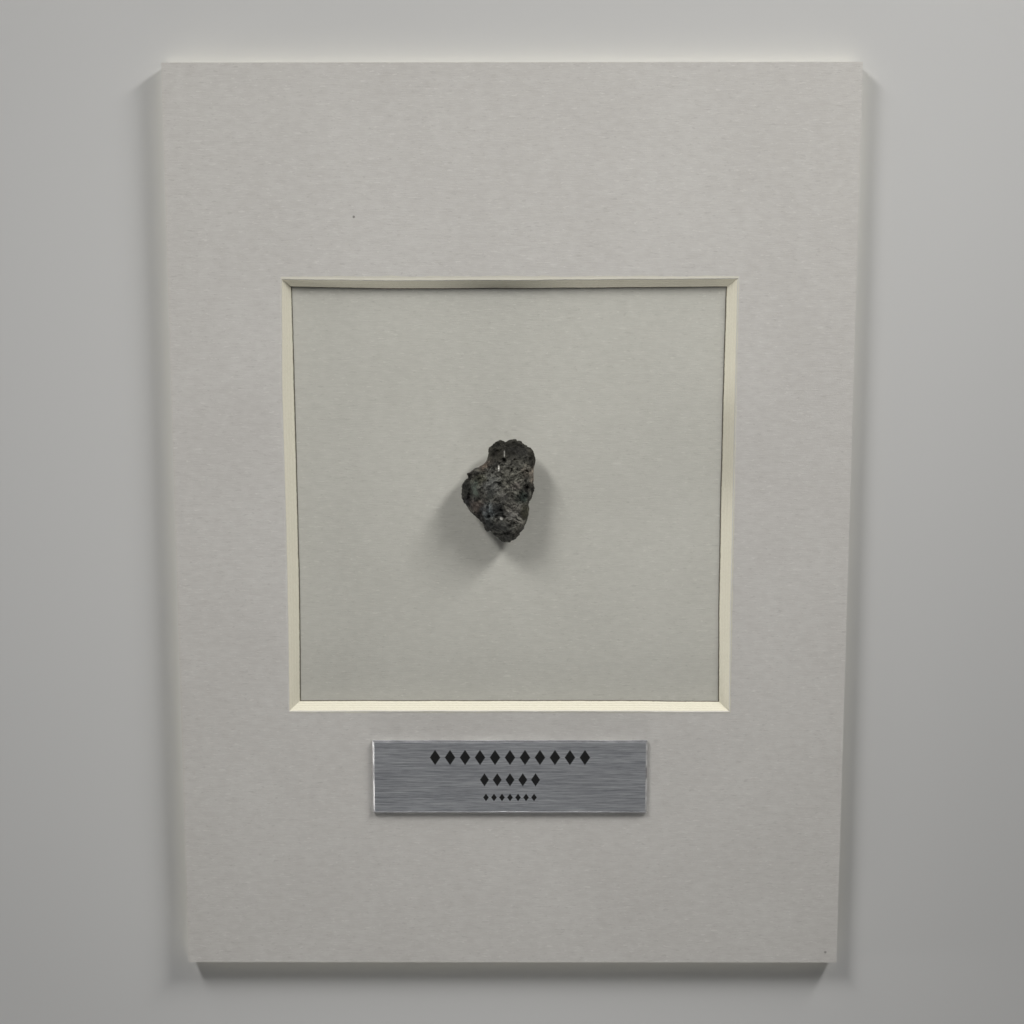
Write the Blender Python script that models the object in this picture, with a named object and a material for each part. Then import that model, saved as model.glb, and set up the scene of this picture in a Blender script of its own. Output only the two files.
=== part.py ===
"""A lunar meteorite fragment fixed in its small window-mat mount.

Metres, +Z up. The mount lies on its back: +X runs to the right and +Y to the top of
the mount as it is read, and the origin is the middle of the backing board's underside.
"""

import math

import bmesh
import bpy
from mathutils import Vector, noise

MM = 0.001

# The card: a backing board with a window mat on it
CARD_WIDTH = 90.6 * MM
CARD_HEIGHT = 122.0 * MM
BOARD_THICKNESS = 1.2 * MM
MAT_THICKNESS = 1.15 * MM
BONDED_GAP = 0.05 * MM
WINDOW_WIDTH = 60.0 * MM
WINDOW_HEIGHT = 58.6 * MM
WINDOW_CENTRE = Vector((-0.3 * MM, 4.3 * MM))
BEVEL_RUN = MAT_THICKNESS

# The metal nameplate below the window
PLATE_WIDTH = 37.6 * MM
PLATE_HEIGHT = 10.2 * MM
PLATE_THICKNESS = 0.5 * MM
PLATE_EDGE_BEVEL = 0.25 * MM
PLATE_CENTRE = Vector((-0.3 * MM, -34.1 * MM))
PLATE_LIFT = 0.1 * MM

# The stone: its widest outline is at its waist, and a small flat spot is below
STONE_CENTRE = Vector((-1.55 * MM, 5.5 * MM))
STONE_ABOVE_WAIST = 2.45 * MM
STONE_BELOW_WAIST = 2.15 * MM
STONE_FLAT_DEPTH = 1.8 * MM
STONE_SQUARENESS = 2.15
NOTCH_FADE = 9
SOFTENING = math.radians(24)
STONE_SPHERE_LEVEL = 6
STONE_TRIANGLES = 7000

# The dab of putty that holds the stone to the board
DAB_RADIUS = 2.3 * MM
DAB_THICKNESS = 0.3 * MM
DAB_EDGE = 0.12 * MM
DAB_SEGMENTS = 32

# The stone seen from above, anticlockwise, as (x, y) in millimetres from its centre
OUTLINE_MM = (
    (4.60, 1.00), (4.48, 2.35), (4.48, 3.20), (4.69, 3.90), (4.52, 4.90), (4.30, 5.45),
    (3.20, 6.25), (2.60, 6.65), (1.55, 6.97), (0.72, 6.52), (0.30, 6.72), (-0.50, 6.61),
    (-1.15, 6.05), (-1.58, 5.40), (-1.66, 4.60), (-2.10, 3.72), (-2.65, 3.32), (-3.75, 2.72),
    (-4.50, 2.20), (-4.36, 1.70), (-4.80, 1.50), (-5.15, 0.95), (-5.31, 0.20), (-5.08, -1.40),
    (-4.45, -2.35), (-3.80, -3.20), (-3.00, -3.68), (-2.50, -4.30), (-2.20, -5.00),
    (-1.92, -5.52), (-1.60, -5.62), (-1.38, -5.18), (-1.18, -5.68), (-0.90, -6.12),
    (-0.40, -6.22), (0.25, -7.02), (1.15, -7.05), (1.85, -6.75), (2.50, -6.08), (3.20, -5.00),
    (3.68, -4.05), (3.84, -2.70), (3.96, -1.65), (4.28, -0.75), (4.52, -0.05),
)

# Forms on the upper face, as (x, y, radius, rise) in millimetres: a fall is below zero
LUMPS_MM = (
    (-0.70, 5.90, 0.70, 0.26), (1.60, 6.25, 0.80, 0.22), (3.55, 5.40, 0.80, 0.20),
    (-0.55, 4.75, 0.85, -0.26), (2.30, 5.10, 1.00, -0.22), (4.05, 3.75, 0.70, 0.14),
    (-3.30, 2.55, 0.55, 0.32), (-2.20, 3.05, 0.60, 0.16), (-4.05, 1.80, 0.38, -0.55),
    (-4.65, 0.35, 0.80, -0.12), (-3.30, 0.15, 0.65, 0.24), (-2.60, -2.10, 1.00, 0.12),
    (-0.90, 1.30, 0.90, 0.16), (1.70, 2.10, 1.20, 0.18), (2.10, 0.55, 0.80, 0.14),
    (3.62, 0.25, 0.42, -0.34), (3.05, -0.70, 0.60, -0.14), (0.80, -0.30, 1.00, 0.14),
    (0.20, -2.40, 0.60, -0.26), (1.70, -2.10, 0.80, 0.16), (2.90, -3.70, 0.90, 0.16),
    (-1.50, -3.40, 0.60, -0.16), (0.50, -4.60, 0.75, 0.14), (1.90, -4.80, 0.70, 0.12),
    (0.95, -6.30, 0.80, 0.20), (-1.60, -4.90, 0.45, 0.12),
)

# Grooves on the upper face, as (start x, y, end x, y, width, depth) in millimetres
GROOVES_MM = (
    (0.62, 6.40, 0.50, 4.35, 0.28, 0.24), (-3.90, 1.70, -3.95, -1.00, 0.34, 0.34),
    (-3.95, -1.00, -4.80, -1.20, 0.28, 0.20), (-0.90, -5.60, 2.60, -5.65, 0.34, 0.26),
    (-0.20, -1.30, 0.35, -3.40, 0.38, 0.22), (4.15, 1.90, 4.10, -0.60, 0.28, 0.20),
    (-1.20, 3.90, 0.50, 4.20, 0.32, 0.22), (-2.40, 2.20, -2.50, 0.20, 0.34, 0.14),
    (-3.60, -1.40, -1.00, -1.90, 0.30, 0.14), (3.10, 0.60, 3.30, -1.60, 0.34, 0.16),
)

# The relief all over, as (size, rise): soft swells, and rounded knobs packed together
SWELLS = ((1.8 * MM, 0.20 * MM), (0.8 * MM, 0.12 * MM))
KNOBS = ((1.15 * MM, 0.28 * MM), (0.60 * MM, 0.12 * MM))
RELIEF_ORIGIN = Vector((3.7, 1.9, 8.2))


def clear_scene():
    for thing in list(bpy.data.objects):
        bpy.data.objects.remove(thing, do_unlink=True)


def linear(channel):
    """An 8-bit sRGB channel as the linear value that a shader takes."""
    share = channel / 255
    return share / 12.92 if share <= 0.04045 else ((share + 0.055) / 1.055) ** 2.4


def material(name, srgb, roughness, metallic=0.0):
    made = bpy.data.materials.new(name)
    made.use_nodes = True
    shader = made.node_tree.nodes["Principled BSDF"]
    shader.inputs["Base Color"].default_value = (*map(linear, srgb), 1.0)
    shader.inputs["Roughness"].default_value = roughness
    shader.inputs["Metallic"].default_value = metallic
    return made


def add_object(name, bm, location, surface, smooth_angle=None):
    """Turns a bmesh into a named object in the scene."""
    bmesh.ops.recalc_face_normals(bm, faces=bm.faces)
    mesh = bpy.data.meshes.new(name)
    bm.to_mesh(mesh)
    bm.free()
    if smooth_angle is not None:
        mesh.shade_smooth()
        mesh.set_sharp_from_angle(angle=smooth_angle)
    mesh.materials.append(surface)
    made = bpy.data.objects.new(name, mesh)
    made.location = location
    bpy.context.collection.objects.link(made)
    return made


def slab(width, height, thickness):
    """A box whose underside is centred on the origin."""
    bm = bmesh.new()
    bmesh.ops.create_cube(bm, size=1.0)
    bmesh.ops.scale(bm, vec=(width, height, thickness), verts=bm.verts)
    bmesh.ops.translate(bm, vec=(0, 0, thickness / 2), verts=bm.verts)
    return bm


def rectangle(bm, centre, width, height, z):
    """A loop of four edges, flat at height z."""
    signs = ((-1, -1), (1, -1), (1, 1), (-1, 1))
    corners = [
        bm.verts.new((centre.x + side * width / 2, centre.y + end * height / 2, z))
        for side, end in signs
    ]
    return [bm.edges.new((corners[i - 1], corners[i])) for i in range(len(corners))]


def backing_board():
    bm = slab(CARD_WIDTH, CARD_HEIGHT, BOARD_THICKNESS)
    surface = material("backing_card", (198, 198, 187), roughness=0.9)
    return add_object("backing_board", bm, (0, 0, 0), surface)


def window_mat():
    """The upper board, with a square window cut at 45 degrees, wider at the face."""
    card = Vector((0, 0))
    foot = (WINDOW_WIDTH - 2 * BEVEL_RUN, WINDOW_HEIGHT - 2 * BEVEL_RUN)
    bm = bmesh.new()
    loops = [
        rectangle(bm, card, CARD_WIDTH, CARD_HEIGHT, MAT_THICKNESS),
        rectangle(bm, WINDOW_CENTRE, WINDOW_WIDTH, WINDOW_HEIGHT, MAT_THICKNESS),
        rectangle(bm, WINDOW_CENTRE, *foot, 0),
        rectangle(bm, card, CARD_WIDTH, CARD_HEIGHT, 0),
    ]
    for i, loop in enumerate(loops):
        bmesh.ops.bridge_loops(bm, edges=loops[i - 1] + loop)
    surface = material("mat_paper", (200, 198, 194), roughness=0.9)
    return add_object("window_mat", bm, (0, 0, BOARD_THICKNESS + BONDED_GAP), surface)


def nameplate():
    """A thin metal plate with its upper edges bevelled, stuck to the mat."""
    bm = slab(PLATE_WIDTH, PLATE_HEIGHT, PLATE_THICKNESS)
    top_edges = [
        edge for edge in bm.edges
        if all(vert.co.z > PLATE_THICKNESS / 2 for vert in edge.verts)
    ]
    bmesh.ops.bevel(bm, geom=top_edges, offset=PLATE_EDGE_BEVEL, segments=1, affect="EDGES")
    face_of_mat = BOARD_THICKNESS + BONDED_GAP + MAT_THICKNESS
    surface = material("brushed_metal", (150, 151, 154), roughness=0.38, metallic=1.0)
    return add_object("nameplate", bm, (*PLATE_CENTRE, face_of_mat + PLATE_LIFT), surface)


def putty_dab():
    """A flattened round dab under the stone, with its rims rounded."""
    bm = bmesh.new()
    bmesh.ops.create_cone(
        bm, cap_ends=True, segments=DAB_SEGMENTS,
        radius1=DAB_RADIUS, radius2=DAB_RADIUS, depth=DAB_THICKNESS,
    )
    rims = [
        edge for edge in bm.edges
        if abs(edge.verts[0].co.z - edge.verts[1].co.z) < DAB_EDGE
    ]
    bmesh.ops.bevel(
        bm, geom=rims, offset=DAB_EDGE, segments=2, profile=0.5, affect="EDGES",
    )
    z = BOARD_THICKNESS + BONDED_GAP + DAB_THICKNESS / 2
    surface = material("putty", (205, 202, 190), roughness=0.6)
    return add_object("putty_dab", bm, (*STONE_CENTRE, z), surface, math.radians(40))


def outline_radius():
    """The outline's distance from the centre as a function of the angle, in metres.

    It runs through the outline's points with a cubic that doesn't overshoot at a notch.
    """
    points = sorted((math.atan2(y, x), math.hypot(x, y) * MM) for x, y in OUTLINE_MM)
    turn = 2 * math.pi
    last = (points[-1][0] - turn, points[-1][1])
    before_last = (points[-2][0] - turn, points[-2][1])
    first = (points[0][0] + turn, points[0][1])
    second = (points[1][0] + turn, points[1][1])
    points = [before_last, last, *points, first, second]

    def slope(i):
        (a0, r0), (a1, r1), (a2, r2) = points[i - 1 : i + 2]
        left = (r1 - r0) / (a1 - a0)
        right = (r2 - r1) / (a2 - a1)
        return 0.0 if left * right <= 0 else 2 * left * right / (left + right)

    slopes = [0.0, *(slope(i) for i in range(1, len(points) - 1)), 0.0]

    def radius(angle):
        i = max(k for k, (start, _) in enumerate(points[:-1]) if start <= angle)
        i = min(max(i, 1), len(points) - 3)
        (a0, r0), (a1, r1) = points[i : i + 2]
        span = a1 - a0
        t = (angle - a0) / span
        return (
            (2 * t**3 - 3 * t**2 + 1) * r0 + (t**3 - 2 * t**2 + t) * span * slopes[i]
            + (3 * t**2 - 2 * t**3) * r1 + (t**3 - t**2) * span * slopes[i + 1]
        )

    return radius


def bell(distance, width):
    return math.exp(-((distance / width) ** 2))


def distance_to_line(point, start, end):
    along = end - start
    share = (point - start).dot(along) / along.length_squared
    return (point - start - along * min(max(share, 0.0), 1.0)).length


def upper_relief(x, y):
    """How much the lumps and grooves raise the upper face here, in metres."""
    here = Vector((x, y)) / MM
    rise = sum(
        height * bell((here - Vector((cx, cy))).length, radius)
        for cx, cy, radius, height in LUMPS_MM
    )
    for x0, y0, x1, y1, width, depth in GROOVES_MM:
        rise -= depth * bell(distance_to_line(here, Vector((x0, y0)), Vector((x1, y1))), width)
    return rise * MM


def roughness_at(point):
    """How far the swells and knobs push the surface out here, in metres."""
    push = sum(rise * noise.noise(point / size + RELIEF_ORIGIN) for size, rise in SWELLS)
    for size, rise in KNOBS:
        nearest, second = noise.voronoi(point / size + RELIEF_ORIGIN)[0][:2]
        push += rise * (min(1.0, 1.6 * (second - nearest)) ** 0.5 - 0.75)
    return push


def stone_point(direction, radius_at, soft_radius_at):
    """Where a point of the unit sphere comes on the stone, from the middle of its waist."""
    flat = min(1.0, math.hypot(direction.x, direction.y))
    angle = math.atan2(direction.y, direction.x)
    depth = STONE_ABOVE_WAIST if direction.z > 0 else STONE_BELOW_WAIST
    power = 2 / STONE_SQUARENESS
    rim = flat**NOTCH_FADE
    reach = flat**power * (rim * radius_at(angle) + (1 - rim) * soft_radius_at(angle))
    height = math.copysign(depth * abs(direction.z) ** power, direction.z)
    point = Vector((reach * math.cos(angle), reach * math.sin(angle), height))
    outwards = Vector((direction.x, direction.y, 2 * direction.z)).normalized()
    steadier = 1 - 0.5 * bell(direction.z, 0.25)
    point += outwards * roughness_at(point) * steadier
    if direction.z > 0:
        point.z += upper_relief(point.x, point.y) * min(1.0, 3 * direction.z)
    point.z = max(point.z, -STONE_FLAT_DEPTH)
    return point


def softened(radius_at, angle):
    """The outline's radius averaged over the angles on both sides of this one."""
    turns = [angle + SOFTENING * k / 4 for k in range(-4, 5)]
    wrapped = [math.remainder(turn, 2 * math.pi) for turn in turns]
    return sum(map(radius_at, wrapped)) / len(wrapped)


def meteorite():
    """The stone, worked from a sphere: outline, dome, lumps, grooves and a flat spot below."""
    bm = bmesh.new()
    bmesh.ops.create_icosphere(bm, subdivisions=STONE_SPHERE_LEVEL, radius=1.0)
    radius_at = outline_radius()
    for vert in bm.verts:
        vert.co = stone_point(
            vert.co.normalized(), radius_at, lambda angle: softened(radius_at, angle)
        )
    face_count = len(bm.faces)
    waist = BOARD_THICKNESS + DAB_THICKNESS + 2 * BONDED_GAP + STONE_FLAT_DEPTH
    surface = material("meteorite_stone", (72, 71, 67), roughness=0.75)
    stone = add_object("meteorite", bm, (*STONE_CENTRE, waist), surface, math.radians(50))
    thinner = stone.modifiers.new("fewer_faces", "DECIMATE")
    thinner.ratio = STONE_TRIANGLES / face_count
    return stone


def build():
    clear_scene()
    backing_board()
    window_mat()
    nameplate()
    putty_dab()
    meteorite()


build()
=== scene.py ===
# %% [markdown]
# # A lunar meteorite in its window mat
#
# This lesson dresses a small specimen mount: a dark stone, a centimetre and a half long,
# fixed on a backing board, seen through a bevelled window in a grey mat board, with a
# brushed nameplate below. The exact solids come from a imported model, which is loaded
# first and stays where it is. Each cell models or finishes one thing on top of it. The
# noise that roughens the shapes is given a seed, because it starts from the clock
# otherwise, and the stone would come out a little different on every run.

# %% Load the frame
import math

import bmesh
import bpy
import numpy as np
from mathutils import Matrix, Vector, noise


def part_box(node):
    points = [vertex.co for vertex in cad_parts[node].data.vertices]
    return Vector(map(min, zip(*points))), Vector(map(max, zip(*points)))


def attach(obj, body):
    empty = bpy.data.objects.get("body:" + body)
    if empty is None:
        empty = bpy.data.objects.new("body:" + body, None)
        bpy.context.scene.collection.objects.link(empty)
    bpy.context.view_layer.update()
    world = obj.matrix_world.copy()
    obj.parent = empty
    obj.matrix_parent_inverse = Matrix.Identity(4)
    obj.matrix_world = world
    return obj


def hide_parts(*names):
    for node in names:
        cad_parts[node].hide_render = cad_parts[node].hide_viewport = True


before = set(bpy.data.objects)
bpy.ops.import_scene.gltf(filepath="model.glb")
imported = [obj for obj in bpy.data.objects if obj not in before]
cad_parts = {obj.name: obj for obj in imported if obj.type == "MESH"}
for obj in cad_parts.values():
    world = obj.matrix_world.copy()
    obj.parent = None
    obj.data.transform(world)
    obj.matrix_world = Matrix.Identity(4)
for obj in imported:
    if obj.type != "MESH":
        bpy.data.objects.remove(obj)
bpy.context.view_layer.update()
MM = 0.001
ROOT = "root"
NOISE_SEED = 3
noise.seed_set(NOISE_SEED)

# %% [markdown]
# ## Places taken from the frame
#
# Nothing is placed by eye where the frame already knows the place. Each node's box gives
# its lowest and highest corner, and the few sizes that a box can't tell, such as the
# window's, are real sizes in millimetres.

# %% Read the boxes
board_low, board_high = map(Vector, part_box("backing_board"))
mat_low, mat_high = map(Vector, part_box("window_mat"))
plate_low, plate_high = map(Vector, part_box("nameplate"))
dab_low, dab_high = map(Vector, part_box("putty_dab"))
stone_low, stone_high = map(Vector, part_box("meteorite"))
WINDOW_SIZE = Vector((60.0, 58.6)) * MM
WINDOW_CENTRE = Vector((-0.3, 4.3)) * MM
STONE_CENTRE = Vector((-1.55, 5.5)) * MM
MAT_THICKNESS = mat_high.z - mat_low.z
print("the mat is", round(MAT_THICKNESS / MM, 2), "mm thick")

# %% [markdown]
# ## Small helpers
#
# Operators act on whatever is selected, and loading the frame leaves its nodes selected.
# So every piece starts from an empty selection, and every edit selects what it needs by
# place, in code, where a person would click.


# %% Selection helpers
def deselect_all():
    for thing in bpy.context.selected_objects:
        thing.select_set(False)


def activate(thing):
    deselect_all()
    thing.select_set(True)
    bpy.context.view_layer.objects.active = thing


def pick(thing, kind, wanted):
    """Leaves edit mode's selection on the vertices, edges or faces that are wanted."""
    bpy.ops.object.mode_set(mode="EDIT")
    bpy.ops.mesh.select_mode(type=kind)
    mesh = bmesh.from_edit_mesh(thing.data)
    for element in (*mesh.verts, *mesh.edges, *mesh.faces):
        element.select = False
    parts = {"VERT": mesh.verts, "EDGE": mesh.edges, "FACE": mesh.faces}[kind]
    for element in parts:
        if wanted(element):
            element.select_set(True)
    bmesh.update_edit_mesh(thing.data)


def settle(thing, name):
    """Ends a piece: out of edit mode, named, and with its place moved into its mesh."""
    if bpy.context.mode != "OBJECT":
        bpy.ops.object.mode_set(mode="OBJECT")
    activate(thing)
    bpy.ops.object.transform_apply(location=True, rotation=True, scale=True)
    thing.name = name
    thing.data.name = name
    return thing


def apply_modifier(thing, kind, **values):
    activate(thing)
    modifier = thing.modifiers.new(kind.lower(), kind)
    for key, value in values.items():
        setattr(modifier, key, value)
    bpy.ops.object.modifier_apply(modifier=modifier.name)


# %% [markdown]
# ## Camera
#
# The picture was taken from nearly straight above with a normal lens. The four corners of
# the square window, which lean together a little, fix where the camera stood: 19 cm over
# the face, slightly towards the top, and tipped back by seven degrees.

# %% Stand the camera
CAMERA_PLACE = Vector((0.5, 26.4, 191.8)) * MM
CAMERA_TURN = (math.radians(-7.20), math.radians(0.15), math.radians(-0.03))
deselect_all()
bpy.ops.object.camera_add(location=CAMERA_PLACE, rotation=CAMERA_TURN)
camera = bpy.context.object
camera.name = "photo_camera"
camera.data.lens = 50
camera.data.sensor_width = 36
camera.data.clip_start = 1 * MM
bpy.context.scene.camera = camera
print("the camera stands", round(CAMERA_PLACE.z / MM, 1), "mm over the floor")

# %% [markdown]
# ## Floor
#
# The floor is a plain pale sheet. Far from the mount it glows a little, like a lit sweep,
# so that every view ends in a plain pale distance. The glow grows with the distance from
# the middle, which the shader measures in object coordinates.

# %% Lay the floor
FLOOR_SIZE = 3.0
FLOOR_COLOUR = (0.66, 0.66, 0.65, 1)
GLOW_COLOUR = (1, 1, 0.98, 1)
GLOW_STARTS, GLOW_IS_FULL, GLOW_STRENGTH = 0.09, 0.26, 0.43
deselect_all()
bpy.ops.mesh.primitive_plane_add(size=FLOOR_SIZE, location=(0, 0, 0))
floor = bpy.context.object
floor.name = "floor"
floor_paint = bpy.data.materials.new("floor_paint")
floor_paint.use_nodes = True
floor_shader = floor_paint.node_tree.nodes["Principled BSDF"]
floor_shader.inputs["Base Color"].default_value = FLOOR_COLOUR
floor_shader.inputs["Roughness"].default_value = 0.9
floor_nodes, floor_links = floor_paint.node_tree.nodes, floor_paint.node_tree.links
floor_place = floor_nodes.new("ShaderNodeTexCoord")
floor_away = floor_nodes.new("ShaderNodeVectorMath")
floor_away.operation = "LENGTH"
floor_glow = floor_nodes.new("ShaderNodeMapRange")
floor_glow.interpolation_type = "SMOOTHSTEP"
floor_glow.inputs["From Min"].default_value = GLOW_STARTS
floor_glow.inputs["From Max"].default_value = GLOW_IS_FULL
floor_glow.inputs["To Max"].default_value = GLOW_STRENGTH
floor_links.new(floor_place.outputs["Object"], floor_away.inputs[0])
floor_links.new(floor_away.outputs["Value"], floor_glow.inputs["Value"])
floor_links.new(floor_glow.outputs["Result"], floor_shader.inputs["Emission Strength"])
floor_shader.inputs["Emission Color"].default_value = GLOW_COLOUR
floor.data.materials.append(floor_paint)
print("the floor glows from", GLOW_STARTS, "to", GLOW_IS_FULL, "m away")

# %% [markdown]
# ## Lamps
#
# Two tall narrow lamps stand low behind the top of the mount, one to each side, each with
# a weak one below it: the window's top edge throws its shadow down onto the backing board,
# and the stone throws two with soft long tails, which part below it. Two more weak lamps
# answer from the other end and from the left, and lift the bevels that look away. Each
# lamp has a honeycomb grid and aims a little over the mount, so the floor close to it
# isn't burnt out.

# %% Hang the lamps
LAMP_COLOUR = (1.0, 0.987, 0.968)
# A lamp's beam sinks by this share of its own slope, so that it passes over the mount
AIM_OVER = 0.5
# name, heading and height in degrees, distance, width, tallness, grid's angle, watts
LAMPS = (
    ("lamp_upper_right", 50, 26.0, 285 * MM, 46 * MM, 110 * MM, 80, 0.120),
    ("lamp_upper_left", 124, 31.0, 330 * MM, 54 * MM, 123 * MM, 80, 0.135),
    ("lamp_low_right", 50, 13.0, 300 * MM, 60 * MM, 60 * MM, 80, 0.014),
    ("lamp_low_left", 124, 13.0, 300 * MM, 60 * MM, 60 * MM, 80, 0.014),
    ("lamp_below", 270, 6.5, 250 * MM, 150 * MM, 42 * MM, 80, 0.046),
    ("lamp_left", 190, 4.5, 360 * MM, 86 * MM, 45 * MM, 50, 0.032),
)
for lamp_name, heading, height, distance, width, tallness, grid, watts in LAMPS:
    turn, lift = math.radians(heading), math.radians(height)
    towards = Vector((
        math.cos(turn) * math.cos(lift), math.sin(turn) * math.cos(lift), math.sin(lift)
    ))
    deselect_all()
    bpy.ops.object.light_add(type="AREA", location=towards * distance)
    lamp = bpy.context.object
    lamp.name = lamp_name
    aimed = towards - Vector((0, 0, AIM_OVER * towards.z))
    lamp.rotation_euler = aimed.to_track_quat("Z", "Y").to_euler()
    lamp.data.shape = "ELLIPSE"
    lamp.data.size = width
    lamp.data.size_y = tallness
    lamp.data.spread = math.radians(grid)
    lamp.data.energy = watts
    lamp.data.color = LAMP_COLOUR
    lamp.visible_camera = False

print(len(LAMPS), "lamps, of", round(sum(row[-1] for row in LAMPS), 3), "watts in all")

# %% [markdown]
# ## Air light
#
# A soft grey light from all round fills what the lamps leave dark, and is what darkens the
# paper close round the stone. It is weak, so the camera alone sees a paler distance behind
# the floor: a Light Path node tells the camera's own rays from those that carry light.

# %% Fill with air light
AIR_COLOUR, AIR_STRENGTH = (0.93, 0.95, 1.0, 1), 0.05
DISTANCE_COLOUR = (0.48, 0.48, 0.48, 1)
air = bpy.data.worlds.new("air_light")
air.use_nodes = True
air_nodes, air_links = air.node_tree.nodes, air.node_tree.links
air_light = air_nodes["Background"]
air_light.inputs["Color"].default_value = AIR_COLOUR
air_light.inputs["Strength"].default_value = AIR_STRENGTH
distance_light = air_nodes.new("ShaderNodeBackground")
distance_light.inputs["Color"].default_value = DISTANCE_COLOUR
which_ray = air_nodes.new("ShaderNodeLightPath")
either = air_nodes.new("ShaderNodeMixShader")
air_links.new(which_ray.outputs["Is Camera Ray"], either.inputs["Fac"])
air_links.new(air_light.outputs["Background"], either.inputs[1])
air_links.new(distance_light.outputs["Background"], either.inputs[2])
air_links.new(either.outputs["Shader"], air_nodes["World Output"].inputs["Surface"])
bpy.context.scene.world = air
bpy.context.scene.view_settings.view_transform = "Standard"
print("air light of strength", AIR_STRENGTH)

# %% [markdown]
# ## Building materials from nodes
#
# All finishes here are procedural. Their patterns are read in object coordinates, which
# are real metres on these pieces, so a grain of a tenth of a millimetre is asked for by
# its size. A handful of helpers keeps each recipe short enough to read.


# %% Shader helpers
class Recipe:
    """A material being mixed: helpers add nodes and return the socket that they feed."""

    def __init__(self, name):
        self.material = bpy.data.materials.new(name)
        self.material.use_nodes = True
        self.tree = self.material.node_tree
        self.shader = self.tree.nodes["Principled BSDF"]
        self.place = self.node("ShaderNodeTexCoord").outputs["Object"]

    def node(self, kind, **settings):
        made = self.tree.nodes.new(kind)
        for key, value in settings.items():
            setattr(made, key, value)
        return made

    def put(self, value, socket):
        if isinstance(value, bpy.types.NodeSocket):
            self.tree.links.new(value, socket)
        else:
            socket.default_value = value

    def stretched(self, scale, turn=(0, 0, 0), place=None):
        """Coordinates scaled so that one unit is one grain: scale is the grain's size."""
        mapping = self.node("ShaderNodeMapping")
        self.put(place or self.place, mapping.inputs["Vector"])
        mapping.inputs["Scale"].default_value = [1 / size for size in scale]
        mapping.inputs["Rotation"].default_value = turn
        return mapping.outputs["Vector"]

    def grain(self, size, detail=2.0, rough=0.5, twist=0.0):
        """A cloudy noise from 0 to 1 with lumps of this size: one length, or one for each axis."""
        sizes = size if isinstance(size, tuple) else (size,) * 3
        texture = self.node("ShaderNodeTexNoise")
        self.put(self.stretched(sizes), texture.inputs["Vector"])
        texture.inputs["Scale"].default_value = 1.0
        texture.inputs["Detail"].default_value = detail
        texture.inputs["Roughness"].default_value = rough
        texture.inputs["Distortion"].default_value = twist
        return texture.outputs["Fac"]

    def cells(self, size, feature="F1", place=None, output="Distance"):
        """Cells of this size: the distance inside them or from their walls, or a chance colour."""
        texture = self.node("ShaderNodeTexVoronoi", feature=feature)
        self.put(self.stretched((size,) * 3, place=place), texture.inputs["Vector"])
        texture.inputs["Scale"].default_value = 1.0
        return texture.outputs[output]

    def drifted(self, size, amount):
        """The place, moved about by a noise, so that what is drawn there has ragged borders."""
        texture = self.node("ShaderNodeTexNoise")
        self.put(self.stretched((size,) * 3), texture.inputs["Vector"])
        texture.inputs["Scale"].default_value = 1.0
        texture.inputs["Detail"].default_value = 3.0
        shifted = self.node("ShaderNodeVectorMath", operation="MULTIPLY_ADD")
        self.put(texture.outputs["Color"], shifted.inputs[0])
        shifted.inputs[1].default_value = (amount,) * 3
        self.put(self.place, shifted.inputs[2])
        return shifted.outputs["Vector"]

    def spread(self, value, low, high, to_low=0.0, to_high=1.0):
        """The value moved from one range to another, held within its ends."""
        ranged = self.node("ShaderNodeMapRange", clamp=True)
        self.put(value, ranged.inputs["Value"])
        ranged.inputs["From Min"].default_value = low
        ranged.inputs["From Max"].default_value = high
        ranged.inputs["To Min"].default_value = to_low
        ranged.inputs["To Max"].default_value = to_high
        return ranged.outputs["Result"]

    def calc(self, operation, first, second=0.0, third=None):
        """One step of arithmetic on two or three values."""
        maths = self.node("ShaderNodeMath", operation=operation)
        self.put(first, maths.inputs[0])
        self.put(second, maths.inputs[1])
        if third is not None:
            self.put(third, maths.inputs[2])
        return maths.outputs["Value"]

    def axis(self, name):
        apart = self.node("ShaderNodeSeparateXYZ")
        self.put(self.place, apart.inputs["Vector"])
        return apart.outputs[name]

    def mix(self, share, first, second, way="MIX"):
        mixed = self.node("ShaderNodeMix", data_type="RGBA", blend_type=way)
        self.put(share, mixed.inputs["Factor"])
        self.put(first, mixed.inputs[6])
        self.put(second, mixed.inputs[7])
        return mixed.outputs[2]

    def attribute(self, name, output="Fac"):
        return self.node("ShaderNodeAttribute", attribute_name=name).outputs[output]

    def bump(self, height, depth, under=None):
        """A bump whose highest point stands this many metres over its lowest."""
        made = self.node("ShaderNodeBump")
        made.inputs["Distance"].default_value = depth
        made.inputs["Strength"].default_value = 1.0
        self.put(height, made.inputs["Height"])
        if under is not None:
            self.put(under, made.inputs["Normal"])
        return made.outputs["Normal"]

    def finish(self, colour, roughness, normal=None, metallic=0.0, gloss=0.5):
        self.put(colour, self.shader.inputs["Base Color"])
        self.shader.inputs["Specular IOR Level"].default_value = gloss
        self.put(roughness, self.shader.inputs["Roughness"])
        self.shader.inputs["Metallic"].default_value = metallic
        if normal is not None:
            self.put(normal, self.shader.inputs["Normal"])
        return self.material


def srgb(red, green, blue):
    """An 8-bit screen colour as the linear colour that a shader takes."""
    shares = [channel / 255 for channel in (red, green, blue)]
    return tuple(
        s / 12.92 if s <= 0.04045 else ((s + 0.055) / 1.055) ** 2.4 for s in shares
    ) + (1.0,)
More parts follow.
